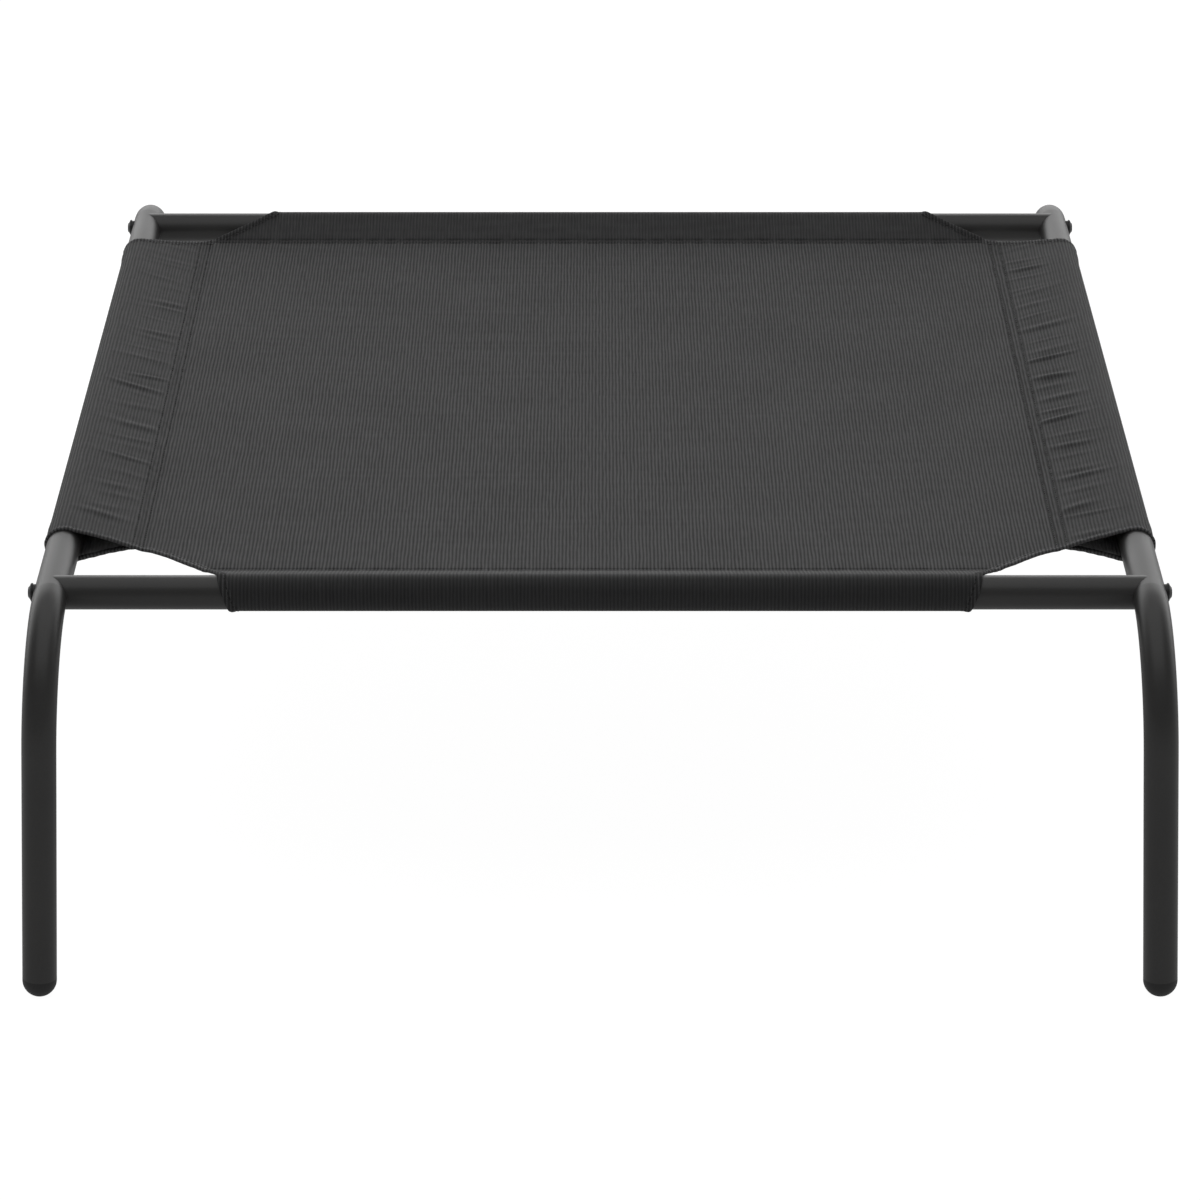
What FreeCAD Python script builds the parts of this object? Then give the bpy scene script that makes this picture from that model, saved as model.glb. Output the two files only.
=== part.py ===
"""Raised pet cot: two bent side frames, two crossbars and a woven mesh sheet with sewn sleeves.

X is the width, Y the length (front is -Y) and Z is up.  The origin is on the floor under the middle.
"""
import FreeCAD, Part
import math
import os
import re
import Sketcher

from FreeCAD import Placement, Rotation, Vector

# Driving dimensions, in millimetres and degrees.
DIMENSIONS = {
    "tube_diameter": 25.0,
    "tube_wall": 1.2,
    "rail_spacing": 794.0,
    "crossbar_spacing": 880.0,
    "rail_height": 275.0,
    "bend_start": 13.0,
    "bend_radius": 84.0,
    "leg_splay": 2.0,
    "bolt_hole": 6.6,
    "foot_pad_cut": 0.8,
    "foot_collar": 2.0,
    "foot_stem": 22.0,
    "foot_stem_radius": 10.2,
    "foot_rib_height": 2.0,
    "fit_clearance": 0.05,
    "washer_diameter": 12.0,
    "washer_crest": 1.0,
    "bolt_diameter": 6.0,
    "bolt_length": 42.0,
    "bolt_end_chamfer": 1.0,
    "flange_diameter": 13.6,
    "flange_thickness": 1.2,
    "crown_diameter": 7.0,
    "head_height": 3.3,
    "head_step_in": 1.8,
    "head_step_rise": 0.825,
    "socket_width": 4.0,
    "socket_depth": 2.1,
    "insert_length": 20.0,
    "insert_setback": 1.0,
    "cloth_thickness": 0.8,
    "sleeve_gap": 0.3,
    "sleeve_tail": 3.0,
    "side_seam_offset": 55.0,
    "end_seam_offset": 43.0,
    "corner_radius": 90.0,
    "corner_across": 370.0,
    "corner_along": 444.0,
    "side_sleeve_length": 716.0,
    "end_sleeve_length": 566.0,
    "hem_width": 6.0,
    "seam_row_gap": 7.0,
    "seam_margin": 3.0,
    "thread_width": 0.6,
    "thread_height": 0.3,
}

SIDES = {"left": -1, "right": 1}
ENDS = {"front": -1, "rear": 1}

doc = FreeCAD.newDocument("pet_cot")
sheet = doc.addObject("Spreadsheet::Sheet", "dims")
for row, (alias, number) in enumerate(DIMENSIONS.items(), start=1):
    sheet.set(f"A{row}", alias)
    sheet.set(f"B{row}", str(number))
    sheet.setAlias(f"B{row}", alias)
doc.recompute()

parts = []


def size(expression):
    """The present value of an expression written with the sheet's aliases."""
    return float(sheet.evalExpression(expression))


def bind(target, path, expression):
    """Bind a property to an expression written with the sheet's aliases."""
    text = re.sub(r"[a-z]+(_[a-z]+)+", lambda word: "dims." + word.group(0), expression)
    target.setExpression(path, text)


# ---- helpers for bodies and sketches ----

def new_body(label):
    body = doc.addObject("PartDesign::Body", label)
    body.Label = label
    parts.append(body)
    return body


def new_sketch(body, name, plane):
    """An empty sketch on one of the body's own origin planes."""
    sketch = body.newObject("Sketcher::SketchObject", name)
    support = next(item for item in body.Origin.OriginFeatures if item.Role == plane)
    sketch.AttachmentSupport = (support, "")
    sketch.MapMode = "FlatFace"
    return sketch


def constrain(sketch, *arguments):
    return sketch.addConstraint(Sketcher.Constraint(*arguments))


def drive(sketch, name, kind, *arguments):
    """A driving constraint; the last argument is its sheet expression."""
    *places, expression = arguments
    index = constrain(sketch, kind, *places, size(expression))
    sketch.renameConstraint(index, name)
    bind(sketch, f"Constraints.{name}", expression)


def add_circle(sketch, name, radius, across="0", along="0"):
    centre = Vector(size(across), size(along), 0)
    circle = sketch.addGeometry(Part.Circle(centre, Vector(0, 0, 1), size(radius)), False)
    drive(sketch, f"{name}_radius", "Radius", circle, radius)
    if across == along == "0":
        constrain(sketch, "Coincident", circle, 3, -1, 1)
        return
    drive(sketch, f"{name}_across", "DistanceX", -1, 1, circle, 3, across)
    drive(sketch, f"{name}_along", "DistanceY", -1, 1, circle, 3, along)


def add_outline(sketch, corners):
    """A closed outline of straight lines; each corner is a pair of sheet expressions."""
    points = [Vector(size(across), size(along), 0) for across, along in corners]
    lines = []
    for start, end in zip(points, points[1:] + points[:1]):
        lines.append(sketch.addGeometry(Part.LineSegment(start, end), False))
    for line, following in zip(lines, lines[1:] + lines[:1]):
        constrain(sketch, "Coincident", line, 2, following, 1)
    for line, (across, along) in zip(lines, corners):
        drive(sketch, f"across_{line}", "DistanceX", -1, 1, line, 1, across)
        drive(sketch, f"along_{line}", "DistanceY", -1, 1, line, 1, along)
    return lines


def pad(body, sketch, length, midplane=True, reverse=False):
    feature = body.newObject("PartDesign::Pad", "Pad")
    feature.Profile = sketch
    feature.Midplane = midplane
    feature.Reversed = reverse
    bind(feature, "Length", length)
    doc.recompute()
    return feature


def cut_through(body, sketch):
    """Pocket a sketch right through the body, both ways."""
    before = body.Shape.Volume
    feature = body.newObject("PartDesign::Pocket", "Pocket")
    feature.Profile = sketch
    feature.Type = "ThroughAll"
    feature.Midplane = True
    doc.recompute()
    if not body.Shape.Volume < before:
        raise ValueError(f"{body.Label}: {sketch.Name} cuts nothing")
    return feature


def revolve(body, sketch, axis):
    feature = body.newObject("PartDesign::Revolution", "Revolution")
    feature.Profile = sketch
    feature.ReferenceAxis = (sketch, [axis])
    feature.Angle = 360
    doc.recompute()
    return feature


# ---- steel tubes ----

def side_frame(label, side):
    """A U bent from one tube: a rail with a leg at each end, tilted so that the feet spread."""
    body = new_body(label)
    reach = "crossbar_spacing / 2 + bend_start"
    half = size(reach)
    radius = size("bend_radius")
    tip = "(rail_height - tube_diameter / 2 + foot_pad_cut) / cos(leg_splay * 1deg) - foot_collar"
    drop = size(tip)

    path = new_sketch(body, "frame_path", "YZ_Plane")
    quarter = math.pi / 2
    rear_bend = Part.Circle(Vector(half, -radius, 0), Vector(0, 0, 1), radius)
    front_bend = Part.Circle(Vector(-half, -radius, 0), Vector(0, 0, 1), radius)
    rail = path.addGeometry(Part.LineSegment(Vector(-half, 0, 0), Vector(half, 0, 0)), False)
    rear_arc = path.addGeometry(Part.ArcOfCircle(rear_bend, 0, quarter), False)
    front_arc = path.addGeometry(Part.ArcOfCircle(front_bend, quarter, 2 * quarter), False)
    outer = half + radius
    rear_leg = path.addGeometry(
        Part.LineSegment(Vector(outer, -radius, 0), Vector(outer, -drop, 0)), False)
    front_leg = path.addGeometry(
        Part.LineSegment(Vector(-outer, -radius, 0), Vector(-outer, -drop, 0)), False)
    constrain(path, "Tangent", rail, 2, rear_arc, 2)
    constrain(path, "Tangent", rail, 1, front_arc, 1)
    constrain(path, "Tangent", rear_arc, 1, rear_leg, 1)
    constrain(path, "Tangent", front_arc, 2, front_leg, 1)
    constrain(path, "Symmetric", rail, 1, rail, 2, -1, 1)
    constrain(path, "Horizontal", rail)
    constrain(path, "Vertical", rear_leg)
    constrain(path, "Vertical", front_leg)
    drive(path, "rail_length", "DistanceX", rail, 1, rail, 2, f"2 * ({reach})")
    drive(path, "rear_radius", "Radius", rear_arc, "bend_radius")
    drive(path, "front_radius", "Radius", front_arc, "bend_radius")
    drive(path, "rear_drop", "DistanceY", rear_leg, 2, -1, 1, tip)
    drive(path, "front_drop", "DistanceY", front_leg, 2, -1, 1, tip)

    section = new_sketch(body, "tube_section", "XY_Plane")
    section.AttachmentOffset = Placement(Vector(0, -outer, -drop), Rotation())
    bind(section, "AttachmentOffset.Base.y", f"-({reach} + bend_radius)")
    bind(section, "AttachmentOffset.Base.z", f"-({tip})")
    add_circle(section, "outside", "tube_diameter / 2")
    add_circle(section, "inside", "tube_diameter / 2 - tube_wall")
    doc.recompute()
    pipe = body.newObject("PartDesign::AdditivePipe", "bent_tube")
    pipe.Profile = section
    pipe.Spine = (path, [])
    doc.recompute()

    holes = new_sketch(body, "bolt_holes", "YZ_Plane")
    level = Rotation(Vector(1, 0, 0), side * size("leg_splay"))
    holes.AttachmentOffset = Placement(Vector(), level)
    for end, sign in ENDS.items():
        add_circle(holes, end, "bolt_hole / 2", f"{sign} * crossbar_spacing / 2", "0")
    cut_through(body, holes)

    tilt = Rotation(Vector(0, 1, 0), -side * size("leg_splay"))
    body.Placement = Placement(Vector(side * size("rail_spacing") / 2, 0, size("rail_height")), tilt)


def crossbar(label, end):
    """A straight tube whose ends are hollowed to sit against the rails."""
    body = new_body(label)
    section = new_sketch(body, "tube_section", "YZ_Plane")
    add_circle(section, "outside", "tube_diameter / 2")
    add_circle(section, "inside", "tube_diameter / 2 - tube_wall")
    pad(body, section, "rail_spacing")
    saddles = new_sketch(body, "rail_saddles", "XZ_Plane")
    for side, sign in SIDES.items():
        add_circle(saddles, side, "tube_diameter / 2", f"{sign} * rail_spacing / 2", "0")
    cut_through(body, saddles)
    body.Placement.Base = Vector(0, end * size("crossbar_spacing") / 2, size("rail_height"))


# ---- fasteners, placed along the crossbar axis at each corner ----

def corner_place(end, side):
    """Local +X points outwards from the bed, along the bolt; local 0 is the rail's axis."""
    base = Vector(side * size("rail_spacing") / 2, end * size("crossbar_spacing") / 2,
                  size("rail_height"))
    turn = 0 if side > 0 else 180
    return Placement(base, Rotation(Vector(0, 0, 1), turn))


def threaded_insert(label, end, side):
    """The bored plug pressed into the crossbar's end, which the bolt screws into."""
    body = new_body(label)
    section = new_sketch(body, "plug_section", "YZ_Plane")
    start = "-(tube_diameter / 2 + insert_setback)"
    section.AttachmentOffset = Placement(Vector(0, 0, size(start)), Rotation())
    bind(section, "AttachmentOffset.Base.z", start)
    add_circle(section, "outside", "tube_diameter / 2 - tube_wall - fit_clearance")
    add_circle(section, "bore", "bolt_diameter / 2 + fit_clearance")
    pad(body, section, "insert_length", midplane=False, reverse=True)
    body.Placement = corner_place(end, side)


def saddle_washer(label, end, side):
    """A short spacer, hollowed to the rail, that gives the bolt's head a flat seat."""
    body = new_body(label)
    section = new_sketch(body, "washer_section", "YZ_Plane")
    add_circle(section, "outside", "washer_diameter / 2")
    add_circle(section, "bore", "bolt_hole / 2")
    pad(body, section, "tube_diameter / 2 + washer_crest", midplane=False)
    saddle = new_sketch(body, "rail_saddle", "XZ_Plane")
    add_circle(saddle, "rail", "tube_diameter / 2")
    cut_through(body, saddle)
    body.Placement = corner_place(end, side)


def corner_bolt(label, end, side):
    """A flanged button-head bolt with a hexagon socket."""
    body = new_body(label)
    seat = "tube_diameter / 2 + washer_crest"
    flange_top = f"{seat} + flange_thickness"
    crown = f"{seat} + head_height"
    profile = new_sketch(body, "bolt_profile", "XY_Plane")
    add_outline(profile, [
        (f"{seat} - bolt_length", "0"),
        (f"{seat} - bolt_length", "bolt_diameter / 2 - bolt_end_chamfer"),
        (f"{seat} - bolt_length + bolt_end_chamfer", "bolt_diameter / 2"),
        (seat, "bolt_diameter / 2"),
        (seat, "flange_diameter / 2"),
        (flange_top, "flange_diameter / 2"),
        (f"{flange_top} + head_step_rise", "flange_diameter / 2 - head_step_in"),
        (crown, "crown_diameter / 2"),
        (crown, "0"),
    ])
    revolve(body, profile, "H_Axis")
    socket = new_sketch(body, "hexagon_socket", "YZ_Plane")
    socket.AttachmentOffset = Placement(Vector(0, 0, size(crown)), Rotation())
    bind(socket, "AttachmentOffset.Base.z", crown)
    corners = [(f"socket_width / sqrt(3) * cos({60 * turn}deg)",
                f"socket_width / sqrt(3) * sin({60 * turn}deg)") for turn in range(6)]
    add_outline(socket, corners)
    before = body.Shape.Volume
    pocket = body.newObject("PartDesign::Pocket", "Pocket")
    pocket.Profile = socket
    bind(pocket, "Length", "socket_depth")
    doc.recompute()
    if not body.Shape.Volume < before:
        raise ValueError(f"{label}: the socket cuts nothing")
    body.Placement = corner_place(end, side)


def foot_plug(label, end, side):
    """A domed plastic plug in the leg's end; local 0 is the dome's centre, +Z up the leg."""
    body = new_body(label)
    profile = new_sketch(body, "dome_profile", "XZ_Plane")
    radius = size("tube_diameter / 2")
    stem = "foot_stem_radius"
    rib = "tube_diameter / 2 - tube_wall - fit_clearance"
    top = "foot_collar + foot_stem"
    outline = [("tube_diameter / 2", "0"), ("tube_diameter / 2", "foot_collar"), (stem, "foot_collar")]
    for number in (1, 2):
        level = f"foot_collar + {number} * foot_stem / 3"
        outline += [(stem, f"{level} - foot_rib_height"), (rib, level), (stem, level)]
    outline += [(stem, top), ("0", top), ("0", "-tube_diameter / 2")]
    points = [Vector(size(across), size(up), 0) for across, up in outline]
    lines = [profile.addGeometry(Part.LineSegment(start, end_point), False)
             for start, end_point in zip(points, points[1:])]
    circle = Part.Circle(Vector(0, 0, 0), Vector(0, 0, 1), radius)
    dome = profile.addGeometry(Part.ArcOfCircle(circle, -math.pi / 2, 0), False)
    for line, following in zip(lines, lines[1:]):
        constrain(profile, "Coincident", line, 2, following, 1)
    constrain(profile, "Coincident", lines[-1], 2, dome, 1)
    constrain(profile, "Coincident", lines[0], 1, dome, 2)
    constrain(profile, "Coincident", dome, 3, -1, 1)
    for line, (across, up) in zip(lines[:-1], outline):
        drive(profile, f"across_{line}", "DistanceX", -1, 1, line, 1, across)
        drive(profile, f"up_{line}", "DistanceY", -1, 1, line, 1, up)
    drive(profile, "axis_across", "DistanceX", -1, 1, lines[-1], 1, "0")
    drive(profile, "axis_up", "DistanceY", -1, 1, lines[-1], 1, top)
    constrain(profile, "PointOnObject", lines[-1], 2, -2)
    revolve(body, profile, "V_Axis")

    floor = new_sketch(body, "floor_cut", "XZ_Plane")
    floor.AttachmentOffset = Placement(Vector(), Rotation(Vector(0, 0, 1), -side * size("leg_splay")))
    depth = "-(tube_diameter / 2 - foot_pad_cut)"
    add_outline(floor, [
        ("-tube_diameter", depth),
        ("tube_diameter", depth),
        ("tube_diameter", "-2 * tube_diameter"),
        ("-tube_diameter", "-2 * tube_diameter"),
    ])
    cut_through(body, floor)
    height = size("tube_diameter / 2 - foot_pad_cut")
    outward = size("rail_height") - height
    spread = outward * math.tan(math.radians(size("leg_splay")))
    body.Placement = Placement(
        Vector(side * (size("rail_spacing") / 2 + spread),
               end * size("crossbar_spacing / 2 + bend_start + bend_radius"), height),
        Rotation(Vector(0, 1, 0), -side * size("leg_splay")))


# ---- mesh cloth ----

def sleeve_section(sketch, name, radius, tail_across, tail_half):
    """A loop round the tube that closes at a tail; tail_half is half the tail's height."""
    reach = size(tail_across)
    half = size(tail_half)
    loop = size(radius)
    spread = math.acos(loop / reach)
    circle = Part.Circle(Vector(0, 0, 0), Vector(0, 0, 1), loop)
    wrap = sketch.addGeometry(Part.ArcOfCircle(circle, spread, 2 * math.pi - spread), False)
    upper_end = Vector(reach, half, 0)
    lower_end = Vector(reach, -half, 0)
    upper_touch = loop * Vector(math.cos(spread), math.sin(spread), 0)
    lower_touch = loop * Vector(math.cos(spread), -math.sin(spread), 0)
    upper = sketch.addGeometry(Part.LineSegment(upper_end, upper_touch), False)
    lower = sketch.addGeometry(Part.LineSegment(lower_touch, lower_end), False)
    constrain(sketch, "Coincident", wrap, 3, -1, 1)
    constrain(sketch, "Tangent", upper, 2, wrap, 1)
    constrain(sketch, "Tangent", wrap, 2, lower, 1)
    drive(sketch, f"{name}_radius", "Radius", wrap, radius)
    drive(sketch, f"{name}_tail", "DistanceX", -1, 1, upper, 1, tail_across)
    if half == 0:
        constrain(sketch, "Coincident", lower, 2, upper, 1)
        constrain(sketch, "PointOnObject", upper, 1, -1)
        return
    edge = sketch.addGeometry(Part.LineSegment(lower_end, upper_end), False)
    constrain(sketch, "Coincident", lower, 2, edge, 1)
    constrain(sketch, "Coincident", edge, 2, upper, 1)
    constrain(sketch, "Symmetric", edge, 1, edge, 2, -1)
    drive(sketch, f"{name}_tail_height", "DistanceY", edge, 1, edge, 2, f"2 * ({tail_half})")


def sleeve(label, seam_offset, length, base, turn):
    """A sewn loop of cloth round a tube; local +X points at the seam, local Y along the tube."""
    body = new_body(label)
    inside = "tube_diameter / 2 + sleeve_gap"
    outer = new_sketch(body, "outer_loop", "XZ_Plane")
    sleeve_section(outer, "outer", f"{inside} + cloth_thickness", seam_offset, "cloth_thickness / 2")
    pad(body, outer, length)
    inner = new_sketch(body, "inner_loop", "XZ_Plane")
    sleeve_section(inner, "inner", inside, f"{seam_offset} - sleeve_tail", "0")
    cut_through(body, inner)
    body.Placement = Placement(base, Rotation(Vector(0, 0, 1), turn))


def sleeping_sheet():
    """The stretched mesh between the four sleeves, with a rounded cut at each corner."""
    body = new_body("sleeping_sheet")
    across = "(rail_spacing / 2 - side_seam_offset)"
    along = "(crossbar_spacing / 2 - end_seam_offset)"
    outline = new_sketch(body, "sheet_outline", "XY_Plane")
    add_outline(outline, [(f"{x} * {across}", f"{y} * {along}")
                          for x, y in ((-1, -1), (1, -1), (1, 1), (-1, 1))])
    pad(body, outline, "cloth_thickness")
    cuts = new_sketch(body, "corner_cuts", "XY_Plane")
    for end, along_sign in ENDS.items():
        for side, across_sign in SIDES.items():
            add_circle(cuts, f"{end}_{side}", "corner_radius",
                       f"{across_sign} * corner_across", f"{along_sign} * corner_along")
    cut_through(body, cuts)
    body.Placement.Base = Vector(0, 0, size("rail_height"))


def corner_hem(label, end, side):
    """The turned-in edge under one rounded corner cut."""
    outer = doc.addObject("Part::Cylinder", f"{label}_outer")
    bind(outer, "Radius", "corner_radius + hem_width")
    inner = doc.addObject("Part::Cylinder", f"{label}_inner")
    bind(inner, "Radius", "corner_radius")
    for disc in (outer, inner):
        bind(disc, "Height", "cloth_thickness")
        disc.Placement.Base = Vector(side * size("corner_across"), end * size("corner_along"), 0)
    ring = doc.addObject("Part::Cut", f"{label}_ring")
    ring.Base = outer
    ring.Tool = inner
    block = doc.addObject("Part::Box", f"{label}_block")
    bind(block, "Length", "rail_spacing / 2 - side_seam_offset")
    bind(block, "Width", "crossbar_spacing / 2 - end_seam_offset")
    bind(block, "Height", "cloth_thickness")
    corner = Vector(min(side, 0) * size("rail_spacing / 2 - side_seam_offset"),
                    min(end, 0) * size("crossbar_spacing / 2 - end_seam_offset"), 0)
    block.Placement.Base = corner
    hem = doc.addObject("Part::Common", label)
    hem.Base = ring
    hem.Tool = block
    hem.Label = label
    hem.Placement.Base = Vector(0, 0, size("rail_height - 1.5 * cloth_thickness"))
    parts.append(hem)


def stitch_rows(label, length, distance, turned):
    """Two parallel rows of thread on the sheet, just inside a seam."""
    rows = []
    for number in (0, 1):
        row_line = doc.addObject("Part::Box", f"{label}_{number}")
        bind(row_line, "Length", "thread_width")
        bind(row_line, "Width", length)
        bind(row_line, "Height", "thread_height")
        offset = size(f"{distance} - seam_margin - {number} * seam_row_gap - thread_width / 2")
        row_line.Placement.Base = Vector(offset, -size(length) / 2, 0)
        rows.append(row_line)
    pair = doc.addObject("Part::Compound", label)
    pair.Links = rows
    pair.Label = label
    level = size("rail_height + cloth_thickness / 2")
    pair.Placement = Placement(Vector(0, 0, level), Rotation(Vector(0, 0, 1), turned))
    parts.append(pair)


# ---- the whole cot ----

def build():
    for side, sign in SIDES.items():
        side_frame(f"{side}_side_frame", sign)
    for end, sign in ENDS.items():
        crossbar(f"{end}_crossbar", sign)
    for end, along in ENDS.items():
        for side, across in SIDES.items():
            corner = f"{end}_{side}"
            threaded_insert(f"{corner}_threaded_insert", along, across)
            saddle_washer(f"{corner}_saddle_washer", along, across)
            corner_bolt(f"{corner}_bolt", along, across)
            foot_plug(f"{corner}_foot_plug", along, across)
            corner_hem(f"{corner}_corner_hem", along, across)
    sleeping_sheet()
    level = size("rail_height")
    half_width = size("rail_spacing / 2")
    half_length = size("crossbar_spacing / 2")
    sleeve("left_sleeve", "side_seam_offset", "side_sleeve_length", Vector(-half_width, 0, level), 0)
    sleeve("right_sleeve", "side_seam_offset", "side_sleeve_length", Vector(half_width, 0, level), 180)
    sleeve("front_sleeve", "end_seam_offset", "end_sleeve_length", Vector(0, -half_length, level), 90)
    sleeve("rear_sleeve", "end_seam_offset", "end_sleeve_length", Vector(0, half_length, level), 270)
    side_seam = "rail_spacing / 2 - side_seam_offset"
    end_seam = "crossbar_spacing / 2 - end_seam_offset"
    stitch_rows("left_sleeve_stitching", "side_sleeve_length", side_seam, 180)
    stitch_rows("right_sleeve_stitching", "side_sleeve_length", side_seam, 0)
    stitch_rows("front_sleeve_stitching", "end_sleeve_length", end_seam, 270)
    stitch_rows("rear_sleeve_stitching", "end_sleeve_length", end_seam, 90)


def check_and_export():
    doc.recompute()
    for item in doc.Objects:
        if "Invalid" in item.State or "Error" in item.State:
            raise ValueError(f"{item.Name}: {item.State}")
    for part in parts:
        if part.Shape.isNull() or not part.Shape.isValid():
            raise ValueError(f"{part.Label} has no valid shape")
    os.makedirs("parts", exist_ok=True)
    for part in parts:
        part.Shape.exportStep(f"parts/{part.Label}.step")
        box = part.Shape.BoundBox
        print(f"{part.Label:28s} {len(part.Shape.Solids)} solid(s) {part.Shape.Volume:10.1f} mm3 "
              f"{box.XLength:7.1f} {box.YLength:7.1f} {box.ZLength:7.1f}")


build()
check_and_export()
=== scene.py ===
"""Looks of the raised dog bed: mesh cloth, hems, stitches, paint, plastic, floor, light and camera.

Metres, in the CAD's frame: X is the width, Y the length with the front at -Y, Z is up.
"""

import math

import bmesh
import bpy
import numpy as np
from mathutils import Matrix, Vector


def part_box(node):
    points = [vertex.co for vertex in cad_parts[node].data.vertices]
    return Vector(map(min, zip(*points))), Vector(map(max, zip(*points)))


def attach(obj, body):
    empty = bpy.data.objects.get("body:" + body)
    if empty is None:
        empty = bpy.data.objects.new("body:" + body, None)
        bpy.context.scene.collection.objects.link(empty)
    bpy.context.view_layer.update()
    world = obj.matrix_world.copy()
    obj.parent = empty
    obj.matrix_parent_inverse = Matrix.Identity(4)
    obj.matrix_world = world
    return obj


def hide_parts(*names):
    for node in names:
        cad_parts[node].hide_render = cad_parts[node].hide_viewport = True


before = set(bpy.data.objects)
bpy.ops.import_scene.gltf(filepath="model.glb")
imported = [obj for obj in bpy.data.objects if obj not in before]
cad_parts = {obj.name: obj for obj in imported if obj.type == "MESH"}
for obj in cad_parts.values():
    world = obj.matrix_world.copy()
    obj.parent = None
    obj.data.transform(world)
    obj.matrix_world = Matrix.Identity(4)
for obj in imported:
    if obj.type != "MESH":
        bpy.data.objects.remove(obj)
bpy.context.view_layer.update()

MM = 0.001

# ---- sizes read from the frame ----

bar_low, bar_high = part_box("front_crossbar")
rear_low, rear_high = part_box("rear_crossbar")
sheet_low, sheet_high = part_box("sleeping_sheet")

TUBE = (bar_high.z - bar_low.z) / 2                 # the tubes' outer radius
RAIL_X = bar_high.x                                 # rail axis, either side of the middle
BAR_Y = (rear_low.y + rear_high.y) / 2              # crossbar axis, either side of the middle
AXIS_Z = (bar_low.z + bar_high.z) / 2               # height of the rail and crossbar axes
SIDE_SEAM = RAIL_X - sheet_high.x                   # from a rail's axis in to its seam
END_SEAM = BAR_Y - sheet_high.y                     # from a crossbar's axis in to its seam
CLOTH = sheet_high.z - sheet_low.z                  # cloth thickness
SHEET_X, SHEET_Y = RAIL_X - SIDE_SEAM, BAR_Y - END_SEAM  # the seams, either side of the middle

# ---- how the cloth lies ----

WRAP = TUBE + 0.35 * MM + CLOTH / 2                 # radius of the cloth's middle round a tube
SAG = 3.0 * MM                                      # how far the sheet's middle hangs
FLAP = 11.0 * MM                                    # seam allowance under the sheet
FLAP_TAPER = 1.3                                    # how fast that allowance narrows at its ends
LAYER_GAP = CLOTH + 0.06 * MM                       # between the middles of two touching layers
RIB, PICK = 2.7 * MM, 1.6 * MM                      # spacing of the weave's ribs, and of its picks
ROW_GAP = {"side": 8.0 * MM, "end": 6.0 * MM}       # between a seam's two rows of stitches
GROOVE, GROOVE_WIDTH = 0.5 * MM, 1.15 * MM          # how far a row pulls the cloth in, and how widely
SEAM_RISE = 0.22 * MM                               # the doubled cloth between the rows stands up
PUCKER = 0.34                                       # how uneven a seam's pull is along it
STITCH, STITCH_STEP = 3.3 * MM, 4.1 * MM            # a stitch's length, and from one to the next
# Painted shade along the seams: how much darker the cloth is painted at each seam's rows of stitches and
# over the doubled cloth between them.
SEAM_SHADE = 0.13                                   # how much darker the cloth is where it is stitched
THREAD = 0.52 * MM                                  # half a stitch's width
SURFACE = CLOTH / 2 + 0.02 * MM                     # from the cloth's middle up to where stitches lie

# Where the cloth stops at a corner: how far in from the rail's axis and from the crossbar's axis
# the curve meets the other tube, how round it is, and how far it flares at the end sleeve.
FRONT_CUT = {"across": 121 * MM, "along": 95 * MM, "p": 3.0, "q": 1.1, "flare": 8.5 * MM}
REAR_CUT = {"across": 111 * MM, "along": 77 * MM, "p": 1.28, "q": 1.0, "flare": 0.0}
FLARE_AT, FLARE_WIDTH = 107 * MM, 10 * MM           # where a cut flares, and over what width
CUTS = {-1: FRONT_CUT, 1: REAR_CUT}
CORNER_LIFT = {-1: 0.4 * MM, 1: 0.5 * MM}           # how far a hem's pull lifts the cloth's edge
LIFT_FADE = 1.3                                     # how that lift fades from a seam out to its tube
LOWER_BACK = 6 * MM                                 # how much further back the lower layer is cut
FRONT_SLANT = 9 * MM                                # how far the front sleeve's ends lean in
# Where a side loop stands off the outside of its tube: the middle in Y, the width and the height.
LOOSE = [(BAR_Y - 96 * MM, 13 * MM, 0.9 * MM), (-BAR_Y + 118 * MM, 12 * MM, 0.5 * MM)]


def smooth(x):
    """0 to 1 with flat ends."""
    x = np.clip(x, 0.0, 1.0)
    return x * x * (3 - 2 * x)


def bump(x, middle, width):
    return np.exp(-((x - middle) / width) ** 2)


def cut_along(across, cut):
    """Distance of the corner cut from the crossbar's axis, at this distance from the rail's axis."""
    share = np.clip(across / cut["across"], 0.0, 1.0)
    flare = cut["flare"] * bump(across, FLARE_AT, FLARE_WIDTH) * np.minimum(20 * (1 - share), 1.0)
    return cut["along"] * (1 - share ** cut["p"]) ** (1 / cut["q"]) + flare


def cut_across(along, cut):
    """The same curve the other way: distance from the rail's axis."""
    across = np.linspace(0, cut["across"], 900)
    return np.interp(-np.asarray(along), -cut_along(across, cut), across)


# ---- gentle unevenness, the same on every run ----

rng = np.random.default_rng(41)
WAVES = [
    (rng.uniform(20, 75) * rng.choice([-1, 1]), rng.uniform(12, 60) * rng.choice([-1, 1]),
     rng.uniform(0, 2 * math.pi), rng.uniform(0.4, 1.0))
    for _ in range(14)
]


def waviness(x, y):
    """Soft rolling unevenness, about -1 to 1."""
    total = sum(a * np.sin(kx * x + ky * y + phase) for kx, ky, phase, a in WAVES)
    return total / 4.5


PUCKERS = [(rng.uniform(170, 480), rng.uniform(0, 2 * math.pi), rng.uniform(0.5, 1.0)) for _ in range(8)]


def pucker(along):
    """How hard the stitches pull the cloth in at each place along a seam: about 1, never below 0.2."""
    total = sum(a * np.sin(k * along + phase) for k, phase, a in PUCKERS)
    return np.maximum(1 + PUCKER * total, 0.2)


def seam_relief(kind, distance, along):
    """Height of the cloth beside a seam, this far from its line and this far along it."""
    half = ROW_GAP[kind] / 2
    aside = np.abs(distance)
    pull = pucker(along)
    rise = SEAM_RISE * (0.5 + 0.5 * pull) * smooth((half - aside) / (1.5 * MM))
    return rise - GROOVE * pull * bump(aside, half, GROOVE_WIDTH)


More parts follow.
